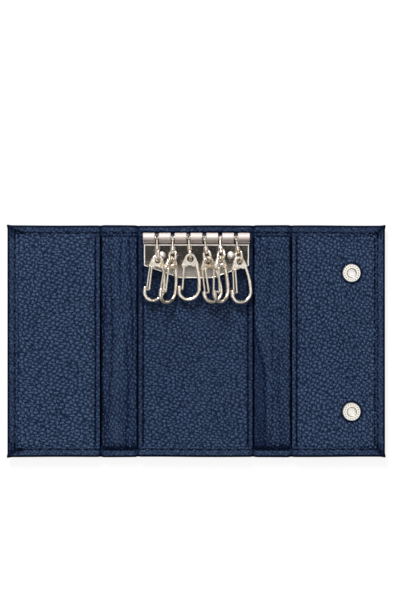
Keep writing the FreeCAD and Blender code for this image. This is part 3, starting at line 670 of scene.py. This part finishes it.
gusset_leather = navy_leather("gusset_leather", 0.48)
left_start, left_end = left_outer - gusset_reach, left_inner + gusset_reach
right_start, right_end = right_inner - gusset_reach, right_outer + gusset_reach
strips = {
    "left_gusset": (left_outer, left_inner, 1.0, 0.0),
    "right_gusset": (right_inner, right_outer, 0.3, 5.2),
}
gusset_pieces = [
    ("gusset_left_outer", left_start, left_middle, "left_gusset", "left_flap", "left_spine", left_outer),
    ("gusset_left_inner", left_middle, left_end, "left_gusset", "left_spine", "centre", left_inner),
    ("gusset_right_inner", right_start, right_middle, "right_gusset", "centre", "right_spine", right_inner),
    ("gusset_right_outer", right_middle, right_end, "right_gusset", "right_spine", "right_flap", right_outer),
]
for name, low, high, node, first, second, fold in gusset_pieces:
    piece = gusset(name, low, high, *strips[node])
    piece.data.materials.append(gusset_leather)
    bend(piece, fold, gusset_reach)
    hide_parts(node)

# Thread: near-black waxed thread, sewn by machine through the hems and along the panels' inner edges.
# Each stitch shows as a short bead that dips into the leather at both ends.
stitch_length = 2.0
stitch_pitch = 3.9
thread_radius = 0.29
stitch_sink = 0.12
stitch_taper = 0.86
stitch_rings = 5
stitch_sides = 6


def stitch_run(name, centres, along, up):
    """Beads at many places: rings whose radius shrinks and which sink towards both ends, closed by a point at
    each end."""
    rings = np.linspace(-stitch_taper, stitch_taper, stitch_rings)
    turns = np.arange(stitch_sides) * (2 * math.pi / stitch_sides)
    radius = thread_radius * np.sqrt(1 - rings ** 4)
    side = np.cross(up, along)
    lie = (stitch_length / 2) * rings
    lift = -stitch_sink * rings ** 2
    offset = (lie[:, None, None] * along
              + (radius[:, None] * np.cos(turns))[..., None] * side
              + (radius[:, None] * np.sin(turns) + lift[:, None])[..., None] * up).reshape(-1, 3)
    tips = np.stack([along, -along]) * (stitch_length / 2) - 2 * stitch_sink * up
    bead = np.concatenate([offset, tips])
    points = (centres[:, None] + bead).reshape(-1, 3)
    ring = np.arange(stitch_sides)
    nexts = np.roll(ring, -1)
    spans = (np.arange(stitch_rings - 1) * stitch_sides)[:, None, None]
    walls = (np.stack([ring, nexts, nexts + stitch_sides, ring + stitch_sides], -1) + spans).reshape(-1, 4)
    last_ring = stitch_sides * (stitch_rings - 1)
    far_tip, near_tip = stitch_sides * stitch_rings, stitch_sides * stitch_rings + 1
    ends = np.concatenate([
        np.stack([nexts, ring, np.full(stitch_sides, near_tip)], -1),
        np.stack([ring + last_ring, nexts + last_ring, np.full(stitch_sides, far_tip)], -1),
    ])
    starts = (np.arange(len(centres)) * len(bead))[:, None, None]
    faces = (walls + starts).reshape(-1, 4).tolist() + (ends + starts).reshape(-1, 3).tolist()
    return new_piece(name, points, faces)


thread_dark = (0.0004, 0.0010, 0.005, 1)
thread_light = (0.0016, 0.0034, 0.014, 1)


def waxed_thread():
    """Near-black thread: fine twisted plies across each stitch, with a waxy shine."""
    thread = Finish(bpy.data.materials.new("waxed_thread"))
    plies = thread.noise(0.12, 2)
    return thread.surface({
        "Base Color": thread.mix(plies, thread_dark, thread_light),
        "Roughness": 0.6 + 0.25 * plies,
        "Normal": thread.bump(plies, 0.04),
        "Specular IOR Level": 0.05,
    })


thread_finish = waxed_thread()
upwards, downwards = np.array([0.0, 0.0, 1.0]), np.array([0.0, 0.0, -1.0])


def stitch_places(start, end):
    """Middles of the stitches along a line."""
    count = int(abs(end - start) / stitch_pitch)
    return start + (np.arange(count) + 0.5) * (end - start) / count


hem_start = 2 * rounding_points
stitch_across = float(np.interp(stitch_inset, section_inset[hem_start:], section_across[hem_start:]))
thread_rise = 0.06


def hem_stitches(low, high, outside):
    """Places of the stitches along the top and bottom hems between two x values, left out at the folds, on the
    hems or on the outer face. On the lower hem those in the spines are hidden by the gathered gussets and left
    out."""
    places = []
    for sign in (1, -1):
        x = stitch_places(low, high)
        hidden = in_spine(x) * (sign < 0) * (not outside)
        x = x[bells(x, folds, crease_width) + hidden < 0.2]
        y = sign * (half_height + edge_rise(x) - stitch_inset)
        if outside:
            z = outer_face(x, y)[0] - thread_rise
        else:
            z = hem_surface(x, y, stitch_inset, 1, stitch_across, 1)[0] + thread_rise
        places.append(np.stack([x, y, z], -1))
    return np.concatenate(places)


along_x, along_y = np.array([1.0, 0.0, 0.0]), np.array([0.0, 1.0, 0.0])
corner_clear = 4.2
seam_clear = 0.6
side_thinning = 0.14
on_hem_grain, on_panel_grain = 0.05, 0.1
edge_end = half_height - corner_clear
seam_end = half_height - hem_width - seam_clear
hem_runs = [
    ("thread_left_flap", left_edge + corner_clear, left_middle, "left_flap", "left_spine", left_outer),
    ("thread_left_spine", left_middle, centre_x, "left_spine", "centre", left_inner),
    ("thread_right_spine", centre_x, right_middle, "centre", "right_spine", right_inner),
    ("thread_right_flap", right_middle, right_edge - corner_clear, "right_spine", "right_flap", right_outer),
]
for name, low, high, first, second, fold in hem_runs:
    for side, up, outside in (("", upwards, False), ("_outside", downwards, True)):
        run = stitch_run(name + side, hem_stitches(low, high, outside), along_x, up)
        run.data.materials.append(thread_finish)
        bend(run, fold, fold_reach)

side_top = skin_bottom + (1 - side_thinning * stitch_across) * stiff_thickness
side_z = side_top - stitch_groove + thread_rise + on_hem_grain
seam_z = panel_top - stitch_groove + thread_rise + on_panel_grain
upright_runs = [
    ("thread_left_edge", left_edge + stitch_inset, side_z, "left_flap", edge_end),
    ("thread_left_fold", left_outer - seam_in, seam_z, "left_flap", seam_end),
    ("thread_centre_left", left_inner + seam_in, seam_z, "centre", seam_end),
    ("thread_centre_right", right_inner - seam_in, seam_z, "centre", seam_end),
    ("thread_right_fold", right_outer + seam_in, seam_z, "right_flap", seam_end),
    ("thread_right_edge", right_edge - stitch_inset, side_z, "right_flap", edge_end),
]
for name, x, z, body, end in upright_runs:
    y = stitch_places(-end, end)
    x = x + 0 * y
    for side, up, height in (("", upwards, z + 0 * y), ("_outside", downwards, outer_face(x, y)[0] - thread_rise)):
        run = stitch_run(name + side, np.stack([x, y, height], -1), along_y, up)
        run.data.materials.append(thread_finish)
        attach(run, body)

# Press studs: turned brass plated with bright nickel. The sockets and their caps clamp the right flap, the studs
# and their posts the left one, and a steel spring ring sits in each socket. Beads are pressed round each socket.
# Painted shade: a brown ring on the floor of each socket's bore, and dark brown on the loops where they turn round
# the rod.
bore_shade_radius = 1.55
bore_shade_spread = 0.3
bore_shade_brown = (0.24, 0.18, 0.12, 1)
upper_shade_brown = (0.03, 0.024, 0.02, 1)
upper_shade_fade = 1.2
nickel_white = (1.0, 0.98, 0.95, 1)
nickel_light = (0.98, 0.92, 0.82, 1)
nickel_dark = (0.76, 0.64, 0.50, 1)
bead_light = (0.42, 0.34, 0.25, 1)
bead_dark = (0.30, 0.23, 0.16, 1)
steel_light = (0.80, 0.76, 0.70, 1)
steel_dark = (0.50, 0.44, 0.36, 1)


def bright_metal(name, light, dark, rough, uneven, bores=(), shaded_above=None):
    """Plated metal: warm nickel with faint cloudy tarnish, small differences of polish and a hardly uneven skin,
    a ring of painted shade on the floor of each bore, and dark painted shade above a height along y."""
    plated = Finish(bpy.data.materials.new(name))
    tarnish = plated.step(plated.noise(2.2, 4), 0.4, 0.75)
    polish = plated.noise(0.35, 3)
    tone = plated.mix(tarnish, light, dark)
    place = plated.value("ShaderNodeTexCoord", {}, {}, "Object")
    level = plated.value("ShaderNodeVectorMath", {"operation": "MULTIPLY"}, {0: place, 1: (1, 1, 0)})
    # Painted shade: a brown ring on the floor of each bore.
    for x, y in bores:
        middle = (x * millimetre, y * millimetre, 0)
        away = plated.value("ShaderNodeVectorMath", {"operation": "DISTANCE"}, {0: level, 1: middle}, "Value")
        crest = bore_shade_radius * millimetre
        inside, outside = (bore_shade_radius - bore_shade_spread) * millimetre, (bore_shade_radius + bore_shade_spread) * millimetre
        ring = plated.step(away, inside, crest) * plated.step(away, outside, crest)
        tone = plated.mix(0.9 * ring, tone, bore_shade_brown)
    # Painted shade: dark brown above the given height.
    if shaded_above:
        height = plated.value("ShaderNodeSeparateXYZ", {}, {0: place}, "Y")
        upper_shade = plated.step(height, shaded_above * millimetre, (shaded_above + upper_shade_fade) * millimetre)
        tone = plated.mix(0.95 * upper_shade, tone, upper_shade_brown)
    return plated.surface({
        "Base Color": tone,
        "Metallic": 1.0,
        "Roughness": rough + 0.1 * tarnish + 0.05 * polish,
        "Normal": plated.bump(plated.noise(1.1, 2), uneven),
    })


def plain_piece(name, points, faces, material, body, slot):
    """A rigid piece with its finish, that rides on a body."""
    piece = new_piece(name, points, faces)
    piece.data.materials.append(material)
    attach(piece, body)


snap_nickel = bright_metal("snap_nickel", nickel_white, nickel_light, 0.36, 0.02)
bead_nickel = bright_metal("bead_nickel", bead_light, bead_dark, 0.45, 0.01)
spring_steel = bright_metal("spring_steel", steel_light, steel_dark, 0.2, 0.01)
socket_nickel = bright_metal("socket_nickel", nickel_white, nickel_light, 0.36, 0.02,
                             [(socket_x, y) for y in socket_ys])
dress(snap_nickel, ["snap_caps", "snap_studs", "stud_posts"])
dress(socket_nickel, ["snap_sockets"])
dress(spring_steel, ["socket_springs"])

bead_count = 18
bead_circle = 0.74 * socket_radius
bead_radius = 0.27
bead_height = 0.16
bead_tilt = math.pi / 2.6
bead_rings = 3
bead_sides = 8


def socket_beads():
    """Low round beads in a ring on each socket: rings of a flattened half ball, closed by a point at its top."""
    turns = np.arange(bead_sides) * (2 * math.pi / bead_sides)
    tilts = np.linspace(0, bead_tilt, bead_rings)
    ring_radius, ring_height = bead_radius * np.cos(tilts), bead_height * np.sin(tilts)
    rings = np.stack(np.broadcast_arrays(
        ring_radius[:, None] * np.cos(turns), ring_radius[:, None] * np.sin(turns), ring_height[:, None]), -1)
    bead = np.concatenate([rings.reshape(-1, 3), [[0, 0, bead_height]]])
    angles = np.arange(bead_count) * (2 * math.pi / bead_count)
    places = np.concatenate([
        np.stack([socket_x + bead_circle * np.cos(angles), y + bead_circle * np.sin(angles),
                  np.full(bead_count, socket_high[2])], -1)
        for y in socket_ys])
    ring = np.arange(bead_sides)
    nexts = np.roll(ring, -1)
    spans = (np.arange(bead_rings - 1) * bead_sides)[:, None, None]
    walls = (np.stack([ring, nexts, nexts + bead_sides, ring + bead_sides], -1) + spans).reshape(-1, 4)
    top_ring, tip = bead_sides * (bead_rings - 1), bead_sides * bead_rings
    caps = np.stack([ring + top_ring, nexts + top_ring, np.full(bead_sides, tip)], -1)
    starts = (np.arange(len(places)) * len(bead))[:, None, None]
    faces = (walls + starts).reshape(-1, 4).tolist() + (caps + starts).reshape(-1, 3).tolist()
    return (places[:, None] + bead).reshape(-1, 3), faces


lip_radius = 2.12
lip_tube = 0.15
lip_steps = 32
lip_sides = 8


def closed_quads(steps, sides):
    """Quads of a grid that closes both ways: a section carried round until it meets its own start."""
    return grid_quads(np.pad(np.arange(steps * sides).reshape(steps, sides), ((0, 1), (0, 1)), mode="wrap"))


def socket_lips():
    """Rolled lip round each socket's bore: a small circle carried round a larger one."""
    around = (np.arange(lip_steps) * (2 * math.pi / lip_steps))[:, None]
    through = (np.arange(lip_sides) * (2 * math.pi / lip_sides))[None, :]
    reach = lip_radius + lip_tube * np.cos(through)
    height = lip_tube * np.sin(through) + 0 * around
    lip = np.stack([reach * np.cos(around), reach * np.sin(around), height], -1).reshape(-1, 3)
    points = np.concatenate([lip + [socket_x, y, socket_high[2]] for y in socket_ys])
    quads = closed_quads(lip_steps, lip_sides)
    return points, np.concatenate([quads, quads + len(lip)]).tolist()


plain_piece("socket_beads", *socket_beads(), bead_nickel, "right_flap", "snap_nickel")
plain_piece("socket_lips", *socket_lips(), bead_nickel, "right_flap", "snap_nickel")

# Hook plate: pressed steel, mirror plated, with a raised beaded rim and seven rolled barrels along its top edge.
# A steel rod runs through the barrels, and two domed rivets with washers hold the plate to the panel.
plate_low, plate_high = corners("hook_plate")
plate_middle = (plate_low[0] + plate_high[0]) / 2
plate_half = 23.3
plate_foot_half = 7.3
plate_bottom = plate_low[1]
plate_side_bottom = plate_bottom + 5.7
plate_shoulder = plate_bottom + 15.05
plate_face = panel_top + 0.8
rim_radius = 0.33
rim_lift = 0.12
rim_inset = 0.3
rim_sides = 12
rim_light = (0.96, 0.93, 0.90, 1)
rivet_light = (1.0, 0.97, 0.93, 1)
face_light = (0.80, 0.74, 0.68, 1)
face_dark = (0.60, 0.52, 0.45, 1)
barrel_light = (0.80, 0.72, 0.69, 1)
barrel_dark = (0.58, 0.50, 0.47, 1)
shadow_brown = (0.05, 0.04, 0.035, 1)
shadow_end = plate_shoulder + 0.62


def mirror_plate():
    """Mirror plating with handling marks on the face, and drawn satin lines on the barrels above the plate's
    shoulder."""
    plate = Finish(bpy.data.materials.new("plate_mirror"))
    place = plate.value("ShaderNodeTexCoord", {}, {}, "Object")
    height = plate.value("ShaderNodeSeparateXYZ", {}, {0: place}, "Y")
    barrel = plate.step(height, plate_shoulder * millimetre, (plate_shoulder + 0.3) * millimetre)
    clouds = plate.noise(3.5, 3)
    scratches = plate.step(plate.noise(0.35, 4, (0.3, 1, 1)), 0.62, 0.7) * plate.step(clouds, 0.45, 0.6)
    drawn = plate.noise(0.55, 2, (0.02, 1, 1))
    face_tone = plate.mix(clouds, face_light, face_dark)
    barrel_tone = plate.mix(drawn, barrel_light, barrel_dark)
    shadow = plate.step(height, shadow_end * millimetre, (shadow_end - 0.15) * millimetre) * barrel
    tone = plate.mix(barrel, face_tone, barrel_tone)
    worn_foot = plate.step(height, (plate_bottom + 9) * millimetre, (plate_bottom + 1) * millimetre)
    face_rough = 0.07 + 0.16 * scratches + 0.06 * clouds + 0.1 * worn_foot
    return plate.surface({
        "Base Color": plate.mix(shadow, tone, shadow_brown),
        "Metallic": 1.0,
        "Roughness": face_rough + barrel * (0.5 + 0.12 * drawn),
        "Normal": plate.bump(scratches * (1 - barrel) + 3 * barrel * drawn, 0.004),
    })


def rim_bead():
    """Bead along the plate's outline: a small circle carried round its straight sides, which meet in mitres."""
    half, top, foot = plate_half - rim_inset, plate_shoulder - rim_inset, plate_bottom + rim_inset
    outline = np.array([
        [half, top], [-half, top], [-half, plate_side_bottom],
        [-plate_foot_half, foot], [plate_foot_half, foot], [half, plate_side_bottom],
    ])
    ahead = np.roll(outline, -1, 0) - outline
    ahead = ahead / np.linalg.norm(ahead, axis=1)[:, None]
    left = np.stack([-ahead[:, 1], ahead[:, 0]], -1)
    mitre = left + np.roll(left, 1, 0)
    mitre = 2 * mitre / (mitre ** 2).sum(1)[:, None]
    around = np.arange(rim_sides) * (2 * math.pi / rim_sides)
    offset = rim_radius * np.cos(around)
    flat = outline[:, None] + offset[None, :, None] * mitre[:, None]
    height = np.broadcast_to(plate_face + rim_lift + rim_radius * np.sin(around), flat.shape[:2])
    points = np.concatenate([flat + [plate_middle, 0], height[..., None]], -1)
    return points.reshape(-1, 3), closed_quads(len(outline), rim_sides).tolist()


plate_mirror = mirror_plate()
rim_nickel = bright_metal("rim_nickel", rim_light, nickel_light, 0.2, 0.01)
rivet_nickel = bright_metal("rivet_nickel", rivet_light, nickel_light, 0.46, 0.05)
dress(plate_mirror, ["hook_plate"])
dress(rivet_nickel, ["plate_rivets"])
dress(spring_steel, ["hook_rod", "rivet_washers"])
plain_piece("plate_rim", *rim_bead(), rim_nickel, "centre", "plate_nickel")

# Hooks: cast and plated pear-shaped hooks on swivel rings. Each ring turns on the headed stem of a slotted loop,
# which hangs on the rod, and a sprung steel wire closes each hook.
hook_nickel = bright_metal("hook_nickel", nickel_light, nickel_dark, 0.18, 0.12)
gate_nickel = bright_metal("gate_nickel", nickel_light, nickel_dark, 0.2, 0.02)
rod_low, rod_high = corners("hook_rod")
# The loops are painted dark brown as shade above this height, where they turn round the rod between the barrels.
loop_shade_height = (rod_low[1] + rod_high[1]) / 2 - 0.9
loop_nickel = bright_metal("loop_nickel", nickel_light, nickel_dark, 0.18, 0.05, shaded_above=loop_shade_height)
for number in range(1, 7):
    dress(loop_nickel, ["rod_loop_%d" % number])
    dress(hook_nickel, ["swivel_ring_%d" % number, "hook_%d" % number])
    dress(gate_nickel, ["hook_gate_%d" % number])

# Floor, light and camera: a white table in a white light tent with one soft box, and a camera straight above
# that looks down through the tent's dark hole.
white = (1, 1, 1, 1)
table_clearance = 0.00002
table_grey = (0.8, 0.8, 0.8, 1)
table_glow = 1.06
glow_share = 0.8
tent_wall = (0.07, 0.07, 0.07, 1)
tent_roof = (0.97, 0.97, 0.97, 1)
tent_hole = (0.01, 0.01, 0.01, 1)
hole_edge, hole_middle = math.radians(6.5), math.radians(4.5)
roof_edge, roof_middle = math.radians(60), math.radians(36)
bpy.ops.mesh.primitive_plane_add(size=4)
table = bpy.context.object
table.name = "floor"
table.location.z = -table_clearance
paint = Finish(bpy.data.materials.new("white_table"))
light_path = paint.node("ShaderNodeLightPath", {}, {})
seen = Value(paint, light_path.outputs["Is Camera Ray"]) + Value(paint, light_path.outputs["Is Glossy Ray"])
painted = paint.value("ShaderNodeBsdfDiffuse", {}, {"Color": table_grey})
glowing = paint.value("ShaderNodeEmission", {}, {"Color": white, "Strength": table_glow})
paint.node("ShaderNodeOutputMaterial", {},
           {"Surface": paint.value("ShaderNodeMixShader", {}, {0: glow_share * seen, 1: painted, 2: glowing})})
table.data.materials.append(paint.owner)

scene = bpy.context.scene
scene.view_settings.view_transform = "Standard"
tent = Finish(bpy.data.worlds.new("light_tent"))
direction = tent.value("ShaderNodeTexCoord", {}, {}, "Generated")
overhead = tent.value("ShaderNodeSeparateXYZ", {}, {0: direction}, "Z")
hole = tent.step(overhead, math.cos(hole_edge), math.cos(hole_middle))
roof = tent.step(overhead, math.cos(roof_edge), math.cos(roof_middle))
tent_path = tent.node("ShaderNodeLightPath", {}, {})
cloth = tent.mix(roof, tent_wall, tent_roof)
cloth = tent.mix(hole, cloth, tent_hole)
sky = tent.mix(Value(tent, tent_path.outputs["Is Camera Ray"]), cloth, white)
backdrop = tent.value("ShaderNodeBackground", {}, {"Color": sky, "Strength": 1.0})
tent.node("ShaderNodeOutputWorld", {}, {"Surface": backdrop})
scene.world = tent.owner

soft_box = bpy.data.lights.new("soft_box", "AREA")
soft_box.energy = 9
soft_box.size = 0.3
soft_box_lamp = bpy.data.objects.new("soft_box", soft_box)
soft_box_lamp.location = (-0.22, 0.75, 0.62)
soft_box_lamp.rotation_euler = (-soft_box_lamp.location).to_track_quat("-Z", "Y").to_euler()
scene.collection.objects.link(soft_box_lamp)

view_centre = (0.00190, 0.01805)
view_distance = 0.6286
camera = bpy.data.cameras.new("camera")
camera.lens = 85
camera.sensor_width = 36
eye = bpy.data.objects.new("camera", camera)
eye.location = (*view_centre, view_distance + panel_top * millimetre)
scene.collection.objects.link(eye)
scene.camera = eye
